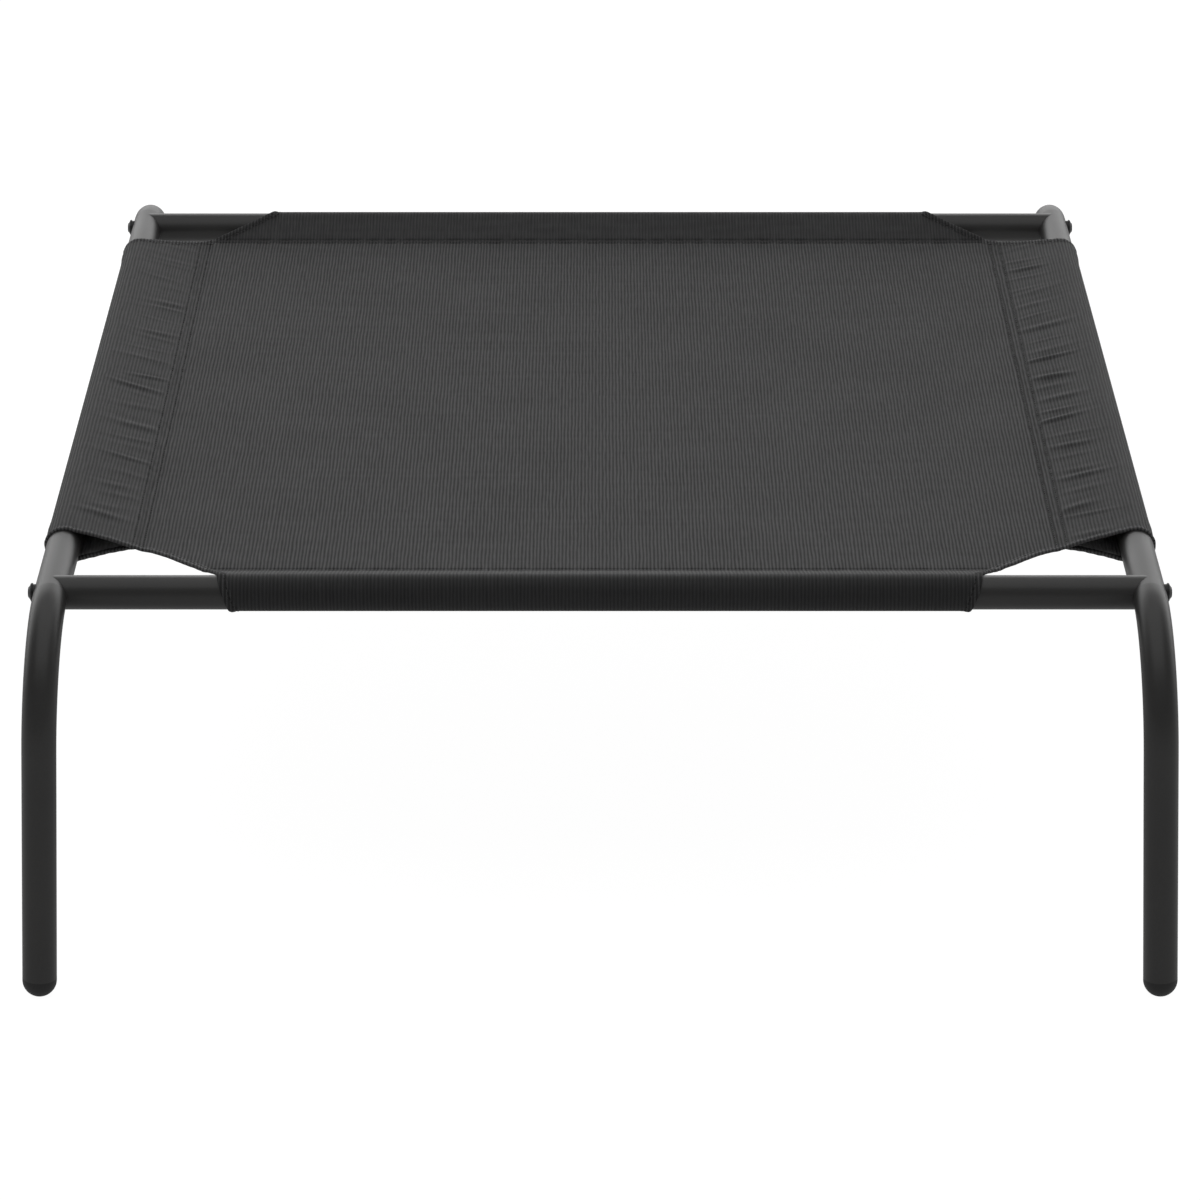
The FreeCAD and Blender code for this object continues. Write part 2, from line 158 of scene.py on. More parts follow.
def steps(length, fine, coarse, reach):
    """Distances from 0 to length, fine within reach of 0 and coarse beyond."""
    near = np.arange(0, min(reach, length), fine)
    far = np.linspace(near[-1] + fine, length, max(int(round((length - near[-1] - fine) / coarse)), 2))
    return np.concatenate([near, far])


def folds(count, low, high, strength, seed):
    """Tension folds beside a rail: where each starts on the seam, its lean, width, height and reach."""
    pick = np.random.default_rng(seed)
    places = np.linspace(low, high, count) + pick.uniform(-0.4, 0.4, count) * (high - low) / count
    return [
        {
            "y": y,
            "lean": pick.uniform(-0.14, 0.20),
            "bow": pick.uniform(-1.0, 4.0) * MM,
            "width": pick.uniform(2.7, 4.9) * MM,
            "height": strength * (0.5 + 1.5 * pick.uniform(0, 1) ** 1.6) * MM,
            "middle": pick.uniform(25, 38) * MM,
            "reach": pick.uniform(14, 22) * MM,
        }
        for y in places
    ]


SIDE_FOLDS = {-1: folds(25, -0.31, 0.36, 0.55, 5), 1: folds(26, -0.33, 0.37, 0.9, 8)}


def side_fold_height(side, inward, y):
    """How far the folds lift the cloth at this distance in from the rail's axis."""
    lift = np.zeros(np.broadcast(inward, y).shape)
    for fold in SIDE_FOLDS[side]:
        offset = y - fold["y"] - fold["lean"] * (SIDE_SEAM - inward)
        offset = offset + fold["bow"] * np.sin(np.pi * np.clip(inward / SIDE_SEAM, 0, 1))
        steepness = np.where(offset > 0, 1.25, 0.9)
        ridge = bump(offset, 0, steepness * fold["width"]) \
            - 0.12 * bump(offset, -1.8 * fold["width"], 1.2 * fold["width"]) \
            - 0.3 * bump(offset, 2.3 * fold["width"], fold["width"])
        fade = bump(inward, fold["middle"], fold["reach"]) * smooth((SIDE_SEAM - inward) / (9 * MM))
        lift = lift + fold["height"] * ridge * fade
    return lift


def corner_pull(x, y):
    """Low ridges that run from each corner of the sheet towards its middle, where it is pulled tight."""
    lift = 0
    for side in (-1, 1):
        for end, strength in ((-1, 0.30), (1, 0.75)):
            inside_x = RAIL_X - side * x - SIDE_SEAM
            inside_y = BAR_Y - end * y - END_SEAM
            along = inside_x * 0.985 + inside_y * 0.17
            off = inside_y * 0.985 - inside_x * 0.17
            lift = lift + strength * MM * bump(off, 3 * MM, 5.5 * MM) * smooth(1 - along / 0.17) \
                * smooth(along / 0.02)
            along = inside_x * 0.17 + inside_y * 0.985
            off = inside_x * 0.985 - inside_y * 0.17
            lift = lift + 0.6 * strength * MM * bump(off, 4 * MM, 7 * MM) * smooth(1 - along / 0.2) \
                * smooth(along / 0.02)
    return lift


def corner_lift(side, end, x, y):
    """How far the pull of the hem lifts the cloth beside one corner cut."""
    cut = CUTS[end]
    from_rail = RAIL_X - side * x
    beyond = np.maximum((BAR_Y - end * y) - cut_along(from_rail, cut), 0)
    aside = np.maximum(from_rail - cut_across(BAR_Y - end * y, cut), 0)
    depth = np.minimum(beyond, aside)
    return CORNER_LIFT[end] * np.exp(-depth / (16 * MM))


def all_corner_lift(x, y):
    return sum(corner_lift(side, end, x, y) for side in (-1, 1) for end in (-1, 1))


def sheet_height(x, y):
    """The sheet's middle surface over the rail axis."""
    share_x = np.clip(np.abs(x) / SHEET_X, 0, 1)
    share_y = np.clip(np.abs(y) / SHEET_Y, 0, 1)
    inside = (1 - share_x ** 2) * (1 - share_y ** 2)
    edge = smooth((1 - share_x) * 12) * smooth((1 - share_y) * 14)
    relief = seam_relief("side", SHEET_X - np.abs(x), y) + seam_relief("end", SHEET_Y - np.abs(y), x)
    soft = edge * (0.35 * MM * waviness(x, y) + corner_pull(x, y))
    return -SAG * inside + soft + relief + all_corner_lift(x, y)


# ---- mesh helpers ----

def unit(rows):
    return rows / np.maximum(np.linalg.norm(rows, axis=1, keepdims=True), 1e-12)


def new_object(name, vertices, faces, uv=None, material=None, smooth_faces=True):
    mesh = bpy.data.meshes.new(name)
    mesh.from_pydata([tuple(v) for v in vertices], [], [tuple(int(i) for i in f) for f in faces])
    mesh.validate()
    if uv is not None:
        layer = mesh.uv_layers.new(name="cloth")
        corners = np.empty(len(mesh.loops), dtype=np.int64)
        mesh.loops.foreach_get("vertex_index", corners)
        layer.data.foreach_set("uv", np.asarray(uv)[corners].astype(np.float32).ravel())
    mesh.polygons.foreach_set("use_smooth", [smooth_faces] * len(mesh.polygons))
    mesh.update()
    piece = bpy.data.objects.new(name, mesh)
    bpy.context.scene.collection.objects.link(piece)
    if material:
        mesh.materials.append(material)
    return piece


def grid_normals(points, outward):
    """Unit normals of a grid of points, turned to the side that outward says."""
    du = np.gradient(points, axis=0)
    dv = np.gradient(points, axis=1)
    normal = np.cross(du, dv)
    normal /= np.maximum(np.linalg.norm(normal, axis=2, keepdims=True), 1e-12)
    flip = np.sign(np.sum(normal * outward, axis=2, keepdims=True))
    flip[flip == 0] = 1
    return normal * flip


def cloth_piece(name, points, uv, outward, material, inner_material=None, thickness=CLOTH):
    """A closed piece of cloth of even thickness about a grid of points, with rounded edges."""
    normal = grid_normals(points, outward)
    rows, columns = points.shape[:2]
    top = points + normal * thickness / 2
    low = points - normal * thickness / 2
    flat_top, flat_low = top.reshape(-1, 3), low.reshape(-1, 3)
    count = rows * columns
    index = np.arange(count).reshape(rows, columns)
    corners = [index[:-1, :-1], index[1:, :-1], index[1:, 1:], index[:-1, 1:]]
    quads = np.stack([corner.ravel() for corner in corners], axis=1)
    under = quads[:, ::-1] + count
    edge = np.concatenate([index[0, :-1], index[:-1, -1], index[-1, :0:-1], index[:0:-1, 0]])
    after = np.roll(edge, -1)
    around = points.reshape(-1, 3)[edge]
    tangent = unit(np.roll(around, -1, axis=0) - np.roll(around, 1, axis=0))
    out = np.cross(tangent, normal.reshape(-1, 3)[edge])
    inner = np.concatenate([points[1, :-1], points[:-1, -2], points[-2, :0:-1], points[:0:-1, 1]])
    out *= np.sign(np.sum(out * (around - inner), axis=1, keepdims=True) + 1e-15)
    rim = around + out * thickness * 0.35
    rim_index = 2 * count + np.arange(len(edge))
    rim_after = np.roll(rim_index, -1)
    wall_up = np.stack([edge, rim_index, rim_after, after], axis=1)
    wall_down = np.stack([rim_index, edge + count, after + count, rim_after], axis=1)
    vertices = np.concatenate([flat_top, flat_low, rim])
    flat_uv = uv.reshape(-1, 2)
    all_uv = np.concatenate([flat_uv, flat_uv, flat_uv[edge]])
    faces = np.concatenate([quads, under, wall_up, wall_down])
    piece = new_object(name, vertices, faces, all_uv, material)
    if inner_material:
        piece.data.materials.append(inner_material)
        which = np.zeros(len(piece.data.polygons), dtype=np.int32)
        which[len(quads):2 * len(quads)] = 1
        piece.data.polygons.foreach_set("material_index", which)
    tidy_normals(piece)
    return piece


def tidy_normals(piece):
    """Turns every face of a closed piece outwards."""
    shape = bmesh.new()
    shape.from_mesh(piece.data)
    bmesh.ops.recalc_face_normals(shape, faces=shape.faces)
    shape.to_mesh(piece.data)
    shape.free()
    piece.data.update()


# ---- where the cloth runs ----

ROUND_STEPS = 32                                    # points round a tube
SIDE_ROWS, END_ROWS = 560, 281                      # points along a side and an end sleeve
FLAP_SHARES = (0.3, 0.65, 1.0)                      # rows across the seam allowance
FLAP_ROWS = len(FLAP_SHARES)
SHEET_STEPS = (3.8 * MM, 3.9 * MM)                  # between the sheet's points, across and along
EDGE_STEP, EDGE_REACH = 0.85 * MM, 9 * MM           # and near its edges, for the seams' grooves


def loop_section(seam):
    """A sleeve's section from its top seam over the tube and back under to its lower seam.

    Returns rows of (inward distance, height), their outward normals, their flat lengths from the
    seam, and how many rows lie flat above the tube.
    """
    spread = math.acos(WRAP / seam)
    up = np.array([math.cos(spread), math.sin(spread)])
    touch = WRAP * up
    start = np.array([seam, 0.0])
    low_touch = touch * (1, -1)
    low_end = np.array([seam, -LAYER_GAP])
    points, normals = [], []
    flat = np.linalg.norm(touch - start)
    shares = steps(flat, 0.8 * MM, (flat - 9 * MM) / 17, 8.5 * MM) / flat
    for share in shares[:-1]:
        points.append(start + share * (touch - start))
        normals.append(up)
    for angle in np.linspace(spread, 2 * math.pi - spread, ROUND_STEPS):
        direction = np.array([math.cos(angle), math.sin(angle)])
        points.append(WRAP * direction)
        normals.append(direction)
    for share in np.linspace(0, 1, 12)[1:]:
        points.append(low_touch + share * (low_end - low_touch))
        normals.append(up * (1, -1))
    for share in FLAP_SHARES:
        points.append(low_end + np.array([share * FLAP, 0]))
        normals.append(np.array([0.0, -1.0]))
    points, normals = np.array(points), np.array(normals)
    gaps = np.linalg.norm(np.diff(points, axis=0), axis=1)
    return points, normals, np.concatenate([[0], np.cumsum(gaps)]), len(shares) - 1


def side_sleeve_surface(side, rows):
    """Grid of a side sleeve's middle surface: points, outward directions and cloth coordinates."""
    section, normals, lengths, flat_rows = loop_section(SIDE_SEAM)
    inward, height = section[:, 0], section[:, 1]
    reach = np.minimum(np.maximum(inward, 0), SIDE_SEAM)
    front = -BAR_Y + np.maximum(cut_along(reach, FRONT_CUT), END_SEAM)
    rear = BAR_Y - np.maximum(cut_along(reach, REAR_CUT), END_SEAM)
    lower_flap = inward > SIDE_SEAM + 0.1 * MM
    is_low = np.arange(len(inward)) > flat_rows + ROUND_STEPS
    front = front + np.where(is_low, LOWER_BACK * smooth(reach / SIDE_SEAM), 0)
    front = np.where(lower_flap, front + FLAP_TAPER * (inward - SIDE_SEAM), front)
    rear = np.where(lower_flap, rear - FLAP_TAPER * (inward - SIDE_SEAM), rear)
    share = np.linspace(0, 1, rows)
    y = front[:, None] + (rear - front)[:, None] * share[None, :]
    x_in = np.repeat(inward[:, None], rows, axis=1)
    z = np.repeat(height[:, None], rows, axis=1)
    out_x = np.repeat(normals[:, 0][:, None], rows, axis=1)
    out_z = np.repeat(normals[:, 1][:, None], rows, axis=1)
    top = np.repeat((np.arange(len(inward)) < flat_rows + 2)[:, None], rows, axis=1)
    lift = np.where(top, side_fold_height(side, x_in, y), 0)
    lift = lift + np.where(top, 0.25 * MM * waviness(side * (RAIL_X - x_in) * 2, y * 2)
                           * np.sin(np.pi * np.clip(x_in / SIDE_SEAM, 0, 1)), 0)
    lift = lift + np.where(top, seam_relief("side", SIDE_SEAM - x_in, y), 0)
    outside = smooth((np.abs(np.arctan2(z, x_in)) - 1.9) / 0.7)
    for middle, width, rise in LOOSE:
        lift = lift + rise * outside * bump(y, middle, width)
    share_in = np.clip(x_in / SIDE_SEAM, 0, 1) ** LIFT_FADE
    z = z + all_corner_lift(side * (RAIL_X - x_in), y) * share_in
    x_in = x_in + lift * out_x
    z = z + lift * out_z
    under = np.repeat(lower_flap[:, None], rows, axis=1)
    x = side * (RAIL_X - x_in)
    z = np.where(under, sheet_height(x, y) - LAYER_GAP, z) + AXIS_Z
    points = np.stack([x, y, z], axis=2)
    outward = np.stack([-side * out_x, np.zeros_like(out_x), out_z], axis=2)
    u = side * (SHEET_X + lengths)
    uv = np.stack([np.repeat(u[:, None], rows, axis=1), y], axis=2)
    return points, outward, uv


def end_sleeve_surface(end, rows):
    """Grid of the front or rear sleeve's middle surface."""
    cut = CUTS[end]
    section, normals, lengths, flat_rows = loop_section(END_SEAM)
    inward, height = section[:, 0], section[:, 1]
    reach = np.minimum(np.maximum(inward, 0), END_SEAM)
    across = np.maximum(cut_across(reach, cut), SIDE_SEAM)
    if end < 0:
        drop = np.clip((WRAP - height) / (2 * WRAP), 0, 1)
        across = across + np.where(inward < 2 * MM, FRONT_SLANT * drop, FRONT_SLANT * (height < 0))
    flap = inward > END_SEAM + 0.1 * MM
    across = np.where(flap, across + FLAP_TAPER * (inward - END_SEAM), across)
    half = RAIL_X - across
    share = np.linspace(-1, 1, rows)
    x = half[:, None] * share[None, :]
    y_in = np.repeat(inward[:, None], rows, axis=1)
    z = np.repeat(height[:, None], rows, axis=1)
    out_y = np.repeat(normals[:, 0][:, None], rows, axis=1)
    out_z = np.repeat(normals[:, 1][:, None], rows, axis=1)
    top = np.repeat((np.arange(len(inward)) < flat_rows)[:, None], rows, axis=1)
    lift = np.where(top, 0.18 * MM * waviness(x * 2.2, y_in * 9)
                    * np.sin(np.pi * np.clip(y_in / END_SEAM, 0, 1)), 0)
    lift = lift + np.where(top, seam_relief("end", END_SEAM - y_in, x), 0)
    share_in = np.clip(y_in / END_SEAM, 0, 1) ** LIFT_FADE
    z = z + all_corner_lift(x, end * (BAR_Y - y_in)) * share_in
    y_in = y_in + lift * out_y
    z = z + lift * out_z
    y = end * (BAR_Y - y_in)
    under = np.repeat(flap[:, None], rows, axis=1)
    z = np.where(under, sheet_height(x, y) - LAYER_GAP, z) + AXIS_Z
    points = np.stack([x, y, z], axis=2)
    outward = np.stack([np.zeros_like(out_y), -end * out_y, out_z], axis=2)
    v = end * (SHEET_Y + lengths)
    uv = np.stack([x, np.repeat(v[:, None], rows, axis=1)], axis=2)
    return points, outward, uv


def fine_edged(length, coarse):
    """Places from 0 to length, close together near both ends."""
    half = steps(length / 2, EDGE_STEP, coarse, EDGE_REACH)
    return np.concatenate([half, length - half[-2::-1]])


def sheet_surface():
    """Grid of the sleeping sheet's middle surface, its corners cut by the two curves."""
    x = fine_edged(2 * SHEET_X, SHEET_STEPS[0]) - SHEET_X
    from_rail = RAIL_X - np.abs(x)
    front = -BAR_Y + np.maximum(cut_along(from_rail, FRONT_CUT), END_SEAM)
    rear = BAR_Y - np.maximum(cut_along(from_rail, REAR_CUT), END_SEAM)
    share = fine_edged(2 * SHEET_Y, SHEET_STEPS[1]) / (2 * SHEET_Y)
    y = front[:, None] + (rear - front)[:, None] * share[None, :]
    x = np.repeat(x[:, None], len(share), axis=1)
    z = AXIS_Z + sheet_height(x, y)
    points = np.stack([x, y, z], axis=2)
    outward = np.zeros_like(points)
    outward[..., 2] = 1
    return points, outward, np.stack([x, y], axis=2)


def resample(path, step):
    """Points evenly spaced along a path whose rows may hold more than the place itself."""
    lengths = np.concatenate([[0], np.cumsum(np.linalg.norm(np.diff(path[:, :3], axis=0), axis=1))])
    count = max(int(round(lengths[-1] / step)), 2)
    at = np.linspace(0, lengths[-1], count + 1)
    return np.stack([np.interp(at, lengths, path[:, i]) for i in range(path.shape[1])], axis=1)


def soften(path, reach):
    """Averages each row with its neighbours, keeping the ends."""
    window = np.hanning(2 * reach + 1)
    window /= window.sum()
    padded = np.concatenate([
        2 * path[:1] - path[reach:0:-1], path, 2 * path[-1:] - path[-2:-reach - 2:-1]])
    return np.stack([np.convolve(padded[:, i], window, mode="valid") for i in range(path.shape[1])], axis=1)


# ---- materials ----

def material(name):
    made = bpy.data.materials.new(name)
    made.use_nodes = True
    nodes = made.node_tree.nodes
    nodes.clear()
    output = nodes.new("ShaderNodeOutputMaterial")
    shader = nodes.new("ShaderNodeBsdfPrincipled")
    made.node_tree.links.new(shader.outputs[0], output.inputs["Surface"])
    return made, made.node_tree, shader


class Nodes:
    """Short names for the nodes that the materials are made of."""

    def __init__(self, tree):
        self.tree = tree

    def node(self, kind, **values):
        made = self.tree.nodes.new(kind)
        for name, value in values.items():
            setattr(made, name, value)
        return made

    def put(self, socket, value):
        if isinstance(value, bpy.types.NodeSocket):
            self.tree.links.new(value, socket)
        else:
            socket.default_value = value

    def math(self, what, a, b=0.0, c=0.0, clamp=False):
        made = self.node("ShaderNodeMath", operation=what, use_clamp=clamp)
        for socket, value in zip(made.inputs, (a, b, c)):
            self.put(socket, value)
        return made.outputs[0]

    def scaled(self, vector, scale, location=(0, 0, 0)):
        made = self.node("ShaderNodeMapping")
        self.put(made.inputs["Vector"], vector)
        made.inputs["Scale"].default_value = scale
        made.inputs["Location"].default_value = location
        return made.outputs[0]

    def fade(self, value, start, end):
        """0 at start and 1 at end, with flat ends."""
        made = self.node("ShaderNodeMapRange", interpolation_type="SMOOTHSTEP")
        self.put(made.inputs["Value"], value)
        made.inputs["From Min"].default_value = start
        made.inputs["From Max"].default_value = end
        return made.outputs[0]

    def noise(self, vector, scale, detail=2.0, roughness=0.5):
        made = self.node("ShaderNodeTexNoise")
        self.put(made.inputs["Vector"], vector)
        made.inputs["Scale"].default_value = scale
        made.inputs["Detail"].default_value = detail
        made.inputs["Roughness"].default_value = roughness
        return made.outputs["Fac"]

    def spread(self, value, low, high):
        """Maps 0..1 to low..high."""
        return self.math("MULTIPLY_ADD", value, high - low, low)

    def colours(self, value, stops):
        made = self.node("ShaderNodeValToRGB")
        self.put(made.inputs["Fac"], value)
        ramp = made.color_ramp
        while len(ramp.elements) < len(stops):
            ramp.elements.new(0.5)
        for element, (place, colour) in zip(ramp.elements, stops):
            element.position = place
            element.color = (*colour, 1)
        return made.outputs["Color"]

    def bump(self, height, distance, strength=1.0, normal=None):
        made = self.node("ShaderNodeBump")
        made.inputs["Distance"].default_value = distance
        made.inputs["Strength"].default_value = strength
        self.put(made.inputs["Height"], height)
        if normal is not None:
            self.put(made.inputs["Normal"], normal)
        return made.outputs["Normal"]


# The ribs and picks are painted darker in their valleys and lighter on their crowns: painted shade and
# painted highlight.
RIB_WEIGHT = 0.42                                   # how much the ribs show in the sheet's colour


def cloth_material(name, dark, light, seed=0.0, rib_weight=RIB_WEIGHT, bar_painted_shade=0.0):
    """Woven polyester mesh: raised ribs along the length, finer picks across, slight unevenness.

    The ribs and picks are painted darker in their valleys and lighter on their crowns, as painted shade and
    painted highlight. Painted shade darkens the seams' rows of stitches and the doubled cloth between them,
    and a painted shade darkens the cloth past the end seams by the last argument's amount.
    """
    made, tree, shader = material(name)
    n = Nodes(tree)
    uv = n.node("ShaderNodeUVMap", uv_map="cloth").outputs["UV"]
    parts = n.node("ShaderNodeSeparateXYZ")
    n.put(parts.inputs[0], uv)
    u, v = parts.outputs[0], parts.outputs[1]
    slow = n.noise(uv, 9.0, 3.0)
    waver = n.noise(n.scaled(uv, (150, 26, 1), (seed, seed, 0)), 1.0, 2.0)
    streak = n.noise(n.scaled(uv, (400, 45, 1), (seed, 2 * seed, 0)), 1.0, 3.0, 0.6)
    band = n.noise(n.scaled(uv, (7, 150, 1)), 1.0, 2.0, 0.5)
    shifted = n.math("MULTIPLY_ADD", n.math("SUBTRACT", waver, 0.5), 0.6 * RIB, u)
    rib = n.math("SINE", n.math("MULTIPLY", shifted, 2 * math.pi / RIB))
    rib = n.spread(rib, 0.5, 1.0)
    along_picks = n.math("MULTIPLY", v, 2 * math.pi / PICK)
    picks = n.math("SINE", n.math("MULTIPLY_ADD", waver, 2.0, along_picks))
    yarns = n.math("SINE", n.math("MULTIPLY", u, 2 * math.pi / (RIB * 2 / 3)))
    cell = n.spread(n.math("MULTIPLY", picks, yarns), 0.5, 1.0)
    fuzz = n.noise(uv, 1300.0, 2.0, 0.6)
    height = n.math("MULTIPLY", rib, n.spread(streak, 0.45, 1.0))
    height = n.math("ADD", height, n.math("MULTIPLY", cell, 0.26))
    height = n.math("ADD", height, n.math("MULTIPLY", fuzz, 0.16))
    # Painted shade in the valleys of the ribs and picks, and painted highlight on their crowns.
    evened = RIB_WEIGHT - rib_weight
    rib_painted_shade = n.spread(rib, 0.75 * evened, RIB_WEIGHT - 0.25 * evened)
    shade = n.math("ADD", rib_painted_shade, n.math("MULTIPLY", cell, 0.10))
    shade = n.math("ADD", shade, n.math("MULTIPLY", streak, 0.22))
    shade = n.math("ADD", shade, n.math("MULTIPLY", band, 0.12))
    shade = n.math("ADD", shade, n.math("MULTIPLY", slow, 0.10))
    blotch = n.noise(n.scaled(uv, (90, 42, 1)), 1.0, 3.0, 0.6)
    uneven = n.math("MAXIMUM", n.spread(blotch, -1.1, 2.7), 0.0)
    # Painted shade along each seam, uneven along it: darker at the rows of stitches and over the doubled
    # cloth between them.
    for place, seam, gap in ((u, SHEET_X, ROW_GAP["side"]), (v, SHEET_Y, ROW_GAP["end"])):
        aside = n.math("ABSOLUTE", n.math("SUBTRACT", n.math("ABSOLUTE", place), seam))
        off_row = n.math("ABSOLUTE", n.math("SUBTRACT", aside, gap / 2))
        row = n.math("SUBTRACT", 1.0, n.math("DIVIDE", off_row, 1.7 * MM), clamp=True)
        between = n.math("SUBTRACT", 0.5, n.math("DIVIDE", aside, 1.1 * gap), clamp=True)
        seam_painted_shade = n.math("MULTIPLY", n.math("MAXIMUM", row, between), uneven)
        shade = n.math("MULTIPLY_ADD", seam_painted_shade, -SEAM_SHADE, shade)
    # Painted shade: past the end seams, where the cloth turns down the crossbars' faces, its colour is
    # darkened by the amount given for that.
    on_bar = n.math("DIVIDE", n.math("SUBTRACT", n.math("ABSOLUTE", v), SHEET_Y), 6 * MM, clamp=True)
    shade = n.math("MULTIPLY_ADD", on_bar, -bar_painted_shade, shade)
    n.put(shader.inputs["Base Color"], n.colours(shade, [(0.22, dark), (0.72, light)]))
    n.put(shader.inputs["Roughness"], n.spread(shade, 0.88, 0.52))
    n.put(shader.inputs["Normal"], n.bump(height, 0.50 * MM, 1.0))
    shader.inputs["Specular IOR Level"].default_value = 0.34
    return made


def paint_material(name, colour, rough, grain=1.0):
    """Powder coat: a satin dark paint with fine orange peel and faint unevenness in its gloss."""
    made, tree, shader = material(name)
    n = Nodes(tree)
    place = n.node("ShaderNodeTexCoord").outputs["Object"]
    slow = n.noise(place, 14.0, 3.0)
    peel = n.noise(place, 900.0, 2.0, 0.5)
    pits = n.noise(place, 2600.0, 1.0, 0.5)
    shade = n.math("ADD", n.math("MULTIPLY", slow, 0.6), n.math("MULTIPLY", peel, 0.4))
    dark = tuple(c * 0.8 for c in colour)
    light = tuple(c * 1.25 for c in colour)
    n.put(shader.inputs["Base Color"], n.colours(shade, [(0.3, dark), (0.7, light)]))
    n.put(shader.inputs["Roughness"], n.spread(shade, rough - 0.05, rough + 0.07))
    height = n.math("ADD", n.math("MULTIPLY", peel, 0.7), n.math("MULTIPLY", pits, 0.3))
    n.put(shader.inputs["Normal"], n.bump(height, 0.05 * MM * grain, 0.8))
    return made, shader


def thread_material():
    """Twisted black sewing thread."""
    made, tree, shader = material("thread")
    n = Nodes(tree)
    uv = n.node("ShaderNodeUVMap", uv_map="cloth").outputs["UV"]
    parts = n.node("ShaderNodeSeparateXYZ")
    n.put(parts.inputs[0], uv)
    twist = n.math("ADD", n.math("MULTIPLY", parts.outputs[0], 2 * math.pi / (0.5 * MM)),
                   n.math("MULTIPLY", parts.outputs[1], 4 * math.pi))
    ply = n.spread(n.math("SINE", twist), 0.5, 1.0)
    n.put(shader.inputs["Base Color"], n.colours(ply, [(0.0, (0.003,) * 3), (1.0, (0.014,) * 3)]))
    n.put(shader.inputs["Roughness"], n.spread(ply, 0.7, 0.5))
    n.put(shader.inputs["Normal"], n.bump(ply, 0.06 * MM))
    shader.inputs["Specular IOR Level"].default_value = 0.2
    return made


cloth = cloth_material("bed_mesh", (0.004, 0.004, 0.0042), (0.042, 0.042, 0.043))
side_cloth = cloth_material("side_mesh", (0.004, 0.004, 0.0042), (0.041, 0.041, 0.042), 3.0, 0.32)
# The front and rear sleeves take a darker copy of the mesh with fainter ribs, as painted shade on their
# faces that turn to the front.
end_cloth_painted_shade = cloth_material("end_mesh_painted_shade", (0.004, 0.004, 0.0042), (0.030, 0.030, 0.031), 5.0, 0.24)
# The sleeves have no lining: their inside faces are the same dark mesh painted pale, as painted light
# standing in for the light that shines through the mesh.
inside_painted_light = cloth_material("sleeve_inside_painted_light", (0.32, 0.32, 0.323), (0.50, 0.50, 0.503), 9.0, 0.2)
# The hems are the same mesh painted paler, as a painted highlight along their raised folds; past the end
# seams they are darkened again as painted shade.
hem_cloth_painted_highlight = cloth_material("hem_mesh_painted_highlight", (0.018, 0.018, 0.0182), (0.105, 0.105, 0.107), 7.0, 0.36, 0.28)
thread = thread_material()
frame_paint, shader = paint_material("frame_paint", (0.0250, 0.0245, 0.0238), 0.38)
shader.inputs["Specular IOR Level"].default_value = 0.5
bolt_black, shader = paint_material("bolt_black", (0.03, 0.03, 0.031), 0.34, 0.5)
shader.inputs["Metallic"].default_value = 0.6
washer_black, shader = paint_material("washer_black", (0.012, 0.012, 0.012), 0.5, 0.8)
foot_black, shader = paint_material("foot_black", (0.008, 0.008, 0.008), 0.5, 1.4)
insert_black, shader = paint_material("insert_black", (0.02, 0.02, 0.02), 0.5)

# ---- the frame keeps its CAD shapes, with their finishes ----

FINISHES = {
    "side_frame": frame_paint, "crossbar": frame_paint, "saddle_washer": washer_black,
    "bolt": bolt_black, "foot_plug": foot_black, "threaded_insert": insert_black,
}
for name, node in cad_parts.items():
    for ending, finish in FINISHES.items():
        if name.endswith(ending):
            node.data.materials.clear()
            node.data.materials.append(finish)

# ---- cloth ----

SIDES = {-1: "left", 1: "right"}
ENDS = {-1: "front", 1: "rear"}

points, outward, sheet_uv = sheet_surface()
sheet = cloth_piece("mesh_sheet", points, sheet_uv, outward, cloth)
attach(sheet, "root")
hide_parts("sleeping_sheet")

surfaces, sleeves = {}, {}
for side, word in SIDES.items():
    surfaces[word] = side_sleeve_surface(side, SIDE_ROWS)
for end, word in ENDS.items():
    surfaces[word] = end_sleeve_surface(end, END_ROWS)
for word, (points, outward, uv) in surfaces.items():
    finish = side_cloth if word in SIDES.values() else end_cloth_painted_shade
    sleeve = cloth_piece(f"{word}_mesh_sleeve", points, uv, outward, finish, inside_painted_light)
    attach(sleeve, "root")
    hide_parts(f"{word}_sleeve")
    sleeves[word] = sleeve


# ---- hems round the four corner cuts ----

HEM_CURVE_POINTS = 60                               # points along the cut's curve over the sheet


def hem_path(side, end):
    """Rows of place, outward normal and cloth coordinates along the cut edge of one corner.

    It starts at the side sleeve's lower seam, goes out under the rail, round it, over the sheet's
    corner, round the crossbar and back to the end sleeve's lower seam.
    """
    keep = slice(0, -FLAP_ROWS)

    def loose_edge(word, column):
        points, outward, uv = surfaces[word]
        normal = grid_normals(points, outward)
        return np.concatenate([points[keep, column], normal[keep, column], uv[keep, column]], axis=1)

    rows = [loose_edge(SIDES[side], 0 if end < 0 else -1)[::-1]]
    along = np.linspace(cut_along(SIDE_SEAM, CUTS[end]), END_SEAM, HEM_CURVE_POINTS)[1:-1]
    x = side * (RAIL_X - cut_across(along, CUTS[end]))
    y = end * (BAR_Y - along)
    up = np.zeros((len(x), 3))
    up[:, 2] = 1
    arc = np.stack([x, y, AXIS_Z + sheet_height(x, y)], axis=1)
    rows.append(np.concatenate([arc, up, np.stack([x, y], axis=1)], axis=1))
    rows.append(loose_edge(ENDS[end], 0 if side < 0 else -1))
    return np.concatenate(rows)


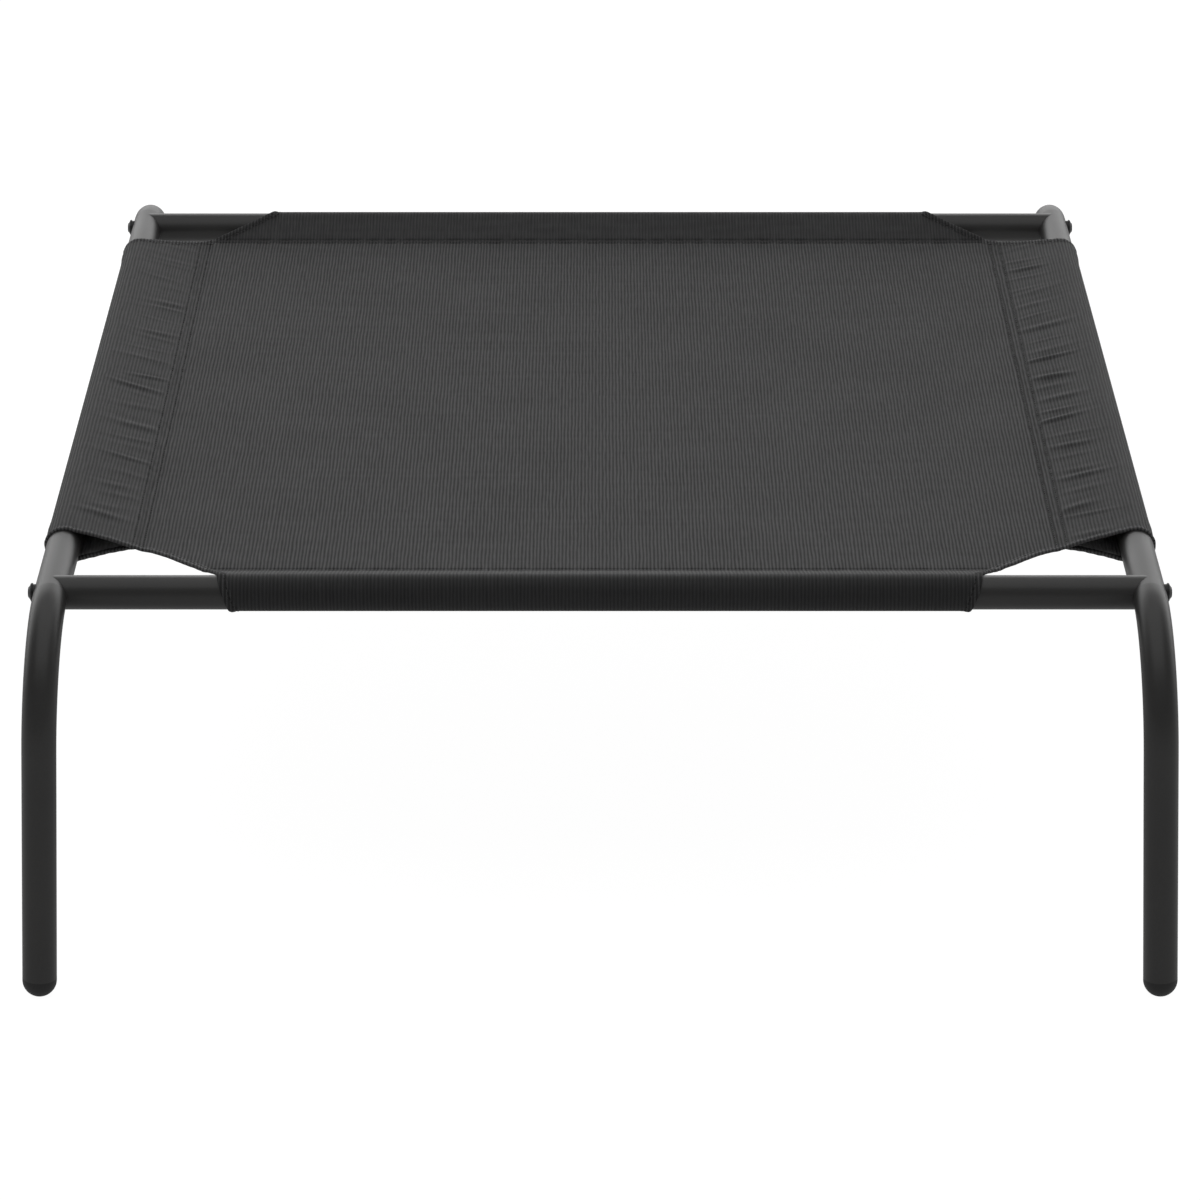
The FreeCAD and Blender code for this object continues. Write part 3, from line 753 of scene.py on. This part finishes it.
# The folded hem's section in mm: (into the cloth from its cut edge, up). A band that stands up at
# the cut edge, the groove its stitches pull in, and the puffed end of the fold.
HEM_PROFILE = [
    (-0.80, 0.05), (-0.72, 0.62), (-0.30, 1.20), (0.55, 1.48), (1.50, 1.42), (2.50, 1.24),
    (3.35, 1.02), (3.80, 0.66), (4.20, 0.50), (4.60, 0.62), (5.10, 0.86), (5.70, 0.80),
    (6.20, 0.50), (6.50, 0.10), (6.30, -0.48), (5.20, -0.74), (3.60, -0.84), (1.80, -1.00),
    (0.40, -1.08), (-0.40, -0.86), (-0.74, -0.42),
]
HEM_STEP = 1.2 * MM                                 # between a hem's sections
HEM_STITCHES_IN, HEM_STITCHES_UP = 4.2 * MM, 0.55 * MM


def hem_piece(side, end):
    """One corner's folded hem, with the line its stitches lie on, their normals and its length."""
    word = f"{ENDS[end]}_{SIDES[side]}"
    path = resample(hem_path(side, end), HEM_STEP)
    path = soften(path, 5)
    place, normal, uv = path[:, :3], unit(path[:, 3:6]), path[:, 6:8]
    along = unit(np.gradient(place, axis=0))
    normal = unit(normal - along * np.sum(normal * along, axis=1, keepdims=True))
    into = np.cross(along, normal)
    into *= np.sign(np.sum(into * np.array([-side, -end, 0.0])))
    lengths = np.arange(len(path)) * HEM_STEP
    pick = np.random.default_rng(60 + 2 * side + end)
    phase = pick.uniform(0, 6)
    waves = 0.12 * MM * np.sin(lengths * 2 * math.pi / (7.5 * MM) + phase) \
        + 0.10 * MM * np.sin(lengths * 2 * math.pi / (17 * MM) + 2 * phase)
    vertices, coordinates = [], []
    for across, up in HEM_PROFILE:
        across, up = across * MM, up * MM
        rise = up + waves * (1 if up > 0 else 0.4)
        vertices.append(place + into * across + normal * rise[:, None])
        coordinates.append(uv + into[:, :2] * across)
    vertices = np.stack(vertices, axis=1)
    coordinates = np.stack(coordinates, axis=1)
    index = np.arange(vertices.shape[0] * vertices.shape[1]).reshape(vertices.shape[:2])
    a, b = index[:-1], index[1:]
    faces = np.stack([a, np.roll(a, -1, axis=1), np.roll(b, -1, axis=1), b], axis=2).reshape(-1, 4)
    faces = [tuple(f) for f in faces] + [tuple(index[0]), tuple(index[-1][::-1])]
    piece = new_object(f"{word}_hem", vertices.reshape(-1, 3), faces, coordinates.reshape(-1, 2), hem_cloth_painted_highlight)
    tidy_normals(piece)
    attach(piece, "root")
    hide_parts(f"{word}_corner_hem")
    stitch_line = place + into * HEM_STITCHES_IN + normal * (waves + HEM_STITCHES_UP)[:, None]
    return piece, stitch_line, normal, lengths[-1]


# ---- stitches ----

RING = 8                                            # points round a stitch
SEAM_POINTS = 300                                   # points along a row of stitches
# How far the rows of stitches stop short: of the front cut, of the rear seam, and of an end's cuts.
STOP_FRONT, STOP_REAR, STOP_ENDS = 8 * MM, 3 * MM, 7 * MM


def stitch_piece(name, lines, replaced=None):
    """One mesh of short round stitches along each line of (places, normals), lying in the cloth."""
    vertices, faces, coordinates = [], [], []
    ring = [(math.cos(t), math.sin(t)) for t in np.linspace(0, 2 * math.pi, RING, endpoint=False)]
    stations = [(-1.0, 0.3, -0.9), (-0.84, 0.8, -0.4), (-0.4, 1.0, 0.0), (0.0, 1.0, 0.15),
                (0.4, 1.0, 0.0), (0.84, 0.8, -0.4), (1.0, 0.3, -0.9)]
    for places, normals in lines:
        rows = np.concatenate([places, normals], axis=1)
        even = resample(rows, STITCH_STEP)
        middles = (even[:-1] + even[1:]) / 2
        directions = unit(even[1:, :3] - even[:-1, :3])
        for i, (row, along) in enumerate(zip(middles, directions)):
            up = row[3:6] / np.linalg.norm(row[3:6])
            beside = np.cross(up, along)
            first = len(vertices)
            for shift, size, rise in stations:
                centre = row[:3] + along * shift * STITCH / 2 + up * rise * THREAD
                for c, s in ring:
                    vertices.append(centre + (beside * c + up * s * 0.7) * THREAD * size)
                    coordinates.append((shift * STITCH / 2, math.atan2(s, c) / (2 * math.pi)))
            for j in range(len(stations) - 1):
                for k in range(RING):
                    beyond = (k + 1) % RING
                    base = first + j * RING
                    faces.append((base + k, base + beyond, base + RING + beyond, base + RING + k))
            faces.append(tuple(first + k for k in reversed(range(RING))))
            faces.append(tuple(first + (len(stations) - 1) * RING + k for k in range(RING)))
    piece = new_object(name, vertices, faces, coordinates, thread)
    tidy_normals(piece)
    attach(piece, "root")
    if replaced:
        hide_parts(replaced)
    return piece


hems, hem_lengths = {}, {}
for side in SIDES:
    for end in ENDS:
        piece, line, normal, length = hem_piece(side, end)
        word = f"{ENDS[end]}_{SIDES[side]}"
        hems[word] = piece
        hem_lengths[word] = length
        stitch_piece(f"{word}_hem_stitches", [(line, normal)])


def side_seam_lines(side):
    """The two rows of a side seam: one just out on the sleeve, one just in on the sheet."""
    half_gap = ROW_GAP["side"] / 2
    front = -BAR_Y + cut_along(SIDE_SEAM, FRONT_CUT) + STOP_FRONT
    y = np.linspace(front, SHEET_Y - STOP_REAR, SEAM_POINTS)
    up = np.zeros((SEAM_POINTS, 3))
    up[:, 2] = 1
    inner_x = side * (SHEET_X - half_gap) + 0 * y
    inner = np.stack([inner_x, y, AXIS_Z + sheet_height(inner_x, y) + SURFACE], axis=1)
    slope = math.atan2(WRAP, SIDE_SEAM)
    outer_x = side * (SHEET_X + half_gap) + 0 * y
    lift = side_fold_height(side, SIDE_SEAM - half_gap + 0 * y, y)
    lift = lift + seam_relief("side", half_gap, y)
    lift = lift + all_corner_lift(outer_x, y) * (1 - half_gap / SIDE_SEAM) ** LIFT_FADE
    outer = np.stack([outer_x, y, AXIS_Z + half_gap * math.tan(slope) + SURFACE + lift], axis=1)
    lean = up.copy()
    lean[:, 0] = -side * math.sin(slope)
    lean[:, 2] = math.cos(slope)
    return [(inner, up), (outer, lean)]


def end_seam_lines(end):
    """The two rows of the front or rear seam, laid in the same way."""
    half_gap = ROW_GAP["end"] / 2
    half = RAIL_X - max(float(cut_across(END_SEAM, CUTS[end])), SIDE_SEAM) - STOP_ENDS
    x = np.linspace(-half, half, SEAM_POINTS)
    up = np.zeros((SEAM_POINTS, 3))
    up[:, 2] = 1
    inner_y = end * (SHEET_Y - half_gap) + 0 * x
    inner = np.stack([x, inner_y, AXIS_Z + sheet_height(x, inner_y) + SURFACE], axis=1)
    slope = math.atan2(WRAP, END_SEAM)
    outer_y = end * (SHEET_Y + half_gap) + 0 * x
    lift = seam_relief("end", half_gap, x)
    lift = lift + all_corner_lift(x, outer_y) * (1 - half_gap / END_SEAM) ** LIFT_FADE
    outer = np.stack([x, outer_y, AXIS_Z + half_gap * math.tan(slope) + SURFACE + lift], axis=1)
    lean = up.copy()
    lean[:, 1] = -end * math.sin(slope)
    lean[:, 2] = math.cos(slope)
    return [(inner, up), (outer, lean)]


for side, word in SIDES.items():
    stitch_piece(f"{word}_seam_stitches", side_seam_lines(side), f"{word}_sleeve_stitching")
for end, word in ENDS.items():
    stitch_piece(f"{word}_seam_stitches", end_seam_lines(end), f"{word}_sleeve_stitching")

# ---- floor, light and camera ----

floor_paint, tree, shader = material("floor")
n = Nodes(tree)
place = n.node("ShaderNodeTexCoord").outputs["Object"]
grain = n.noise(place, 3.0, 3.0)
n.put(shader.inputs["Base Color"], n.colours(grain, [(0.0, (0.35, 0.35, 0.35)), (1.0, (0.37, 0.37, 0.37))]))
shader.inputs["Roughness"].default_value = 0.9
shader.inputs["Specular IOR Level"].default_value = 0.0
# The camera sees an evenly lit white floor with only a trace of shadow on it.
trace = n.node("ShaderNodeBsdfDiffuse")
n.put(trace.inputs["Color"], n.colours(grain, [(0.0, (0.13, 0.13, 0.13)), (1.0, (0.14, 0.14, 0.14))]))
glow = n.node("ShaderNodeEmission")
glow.inputs["Strength"].default_value = 0.97
both = n.node("ShaderNodeAddShader")
tree.links.new(trace.outputs[0], both.inputs[0])
tree.links.new(glow.outputs[0], both.inputs[1])
choose = n.node("ShaderNodeMixShader")
n.put(choose.inputs[0], n.node("ShaderNodeLightPath").outputs["Is Camera Ray"])
bounce = n.node("ShaderNodeEmission")
bounce.inputs["Strength"].default_value = 0.28
lit = n.node("ShaderNodeAddShader")
tree.links.new(shader.outputs[0], lit.inputs[0])
tree.links.new(bounce.outputs[0], lit.inputs[1])
tree.links.new(lit.outputs[0], choose.inputs[1])
tree.links.new(both.outputs[0], choose.inputs[2])
floor_output = next(node for node in tree.nodes if node.type == "OUTPUT_MATERIAL")
tree.links.new(choose.outputs[0], floor_output.inputs["Surface"])
floor = new_object("floor", [(-45, -45, 0), (45, -45, 0), (45, 45, 0), (-45, 45, 0)], [(0, 1, 2, 3)],
                   material=floor_paint)

world = bpy.data.worlds.new("studio")
bpy.context.scene.world = world
world.use_nodes = True
tree = world.node_tree
tree.nodes.clear()
n = Nodes(tree)
output = n.node("ShaderNodeOutputWorld")
direction = n.node("ShaderNodeTexCoord").outputs["Generated"]
parts = n.node("ShaderNodeSeparateXYZ")
n.put(parts.inputs[0], direction)
# A bright wall behind the bed, brightest along its foot, and a dim room everywhere else.
behind = n.fade(parts.outputs[1], 0.0, 0.75)
low_down = n.fade(parts.outputs[2], 0.85, 0.30)
skyline = n.fade(parts.outputs[2], 0.30, 0.02)
back_wall = n.math("MULTIPLY", behind, low_down)
other_walls = n.math("MULTIPLY", n.math("SUBTRACT", 1.0, behind), low_down)
around = n.math("MULTIPLY_ADD", other_walls, 0.03, n.spread(back_wall, 0.26, 1.38))
around = n.math("MULTIPLY_ADD", n.math("MULTIPLY", behind, skyline), 1.2, around)
soft = n.node("ShaderNodeBackground")
n.put(soft.inputs["Strength"], around)
plain = n.node("ShaderNodeBackground")
plain.inputs["Strength"].default_value = 1.0
plain.inputs["Color"].default_value = (1, 1, 1, 1)
choose = n.node("ShaderNodeMixShader")
n.put(choose.inputs[0], n.node("ShaderNodeLightPath").outputs["Is Camera Ray"])
tree.links.new(soft.outputs[0], choose.inputs[1])
tree.links.new(plain.outputs[0], choose.inputs[2])
tree.links.new(choose.outputs[0], output.inputs["Surface"])


def area_light(name, place, aim, width, depth, power):
    lamp = bpy.data.lights.new(name, "AREA")
    lamp.shape = "RECTANGLE"
    lamp.size, lamp.size_y = width, depth
    lamp.energy = power
    holder = bpy.data.objects.new(name, lamp)
    bpy.context.scene.collection.objects.link(holder)
    holder.location = place
    holder.rotation_euler = (Vector(aim) - Vector(place)).to_track_quat("-Z", "Y").to_euler()
    return holder


area_light("overhead", (0, -0.3, 3.6), (0, 0, 0), 5.0, 5.0, 52)
area_light("behind", (0, 3.6, 1.9), (0, 0, 0.25), 4.0, 1.2, 10)

LENS, SENSOR = 160.3, 36.0                          # mm
CAMERA_PLACE = (0, -4.043, 1.681)
CAMERA_DROP = 21.40                                 # degrees below the horizon
camera_data = bpy.data.cameras.new("camera")
camera_data.lens = LENS
camera_data.sensor_width = SENSOR
camera_data.clip_end = 200
camera = bpy.data.objects.new("camera", camera_data)
bpy.context.scene.collection.objects.link(camera)
camera.location = CAMERA_PLACE
camera.rotation_euler = (math.radians(90 - CAMERA_DROP), 0, 0)
bpy.context.scene.camera = camera
bpy.context.scene.view_settings.view_transform = "Standard"

# ---- what each sheet was cut from ----

SIDE_LOOP = float(loop_section(SIDE_SEAM)[2][-1])
END_LOOP = float(loop_section(END_SEAM)[2][-1])


for side, word in SIDES.items():
    grid = surfaces[word][0]
    length = float(np.ptp(grid[..., 1]))
for end, word in ENDS.items():
    grid = surfaces[word][0]
    length = float(np.ptp(grid[..., 0]))
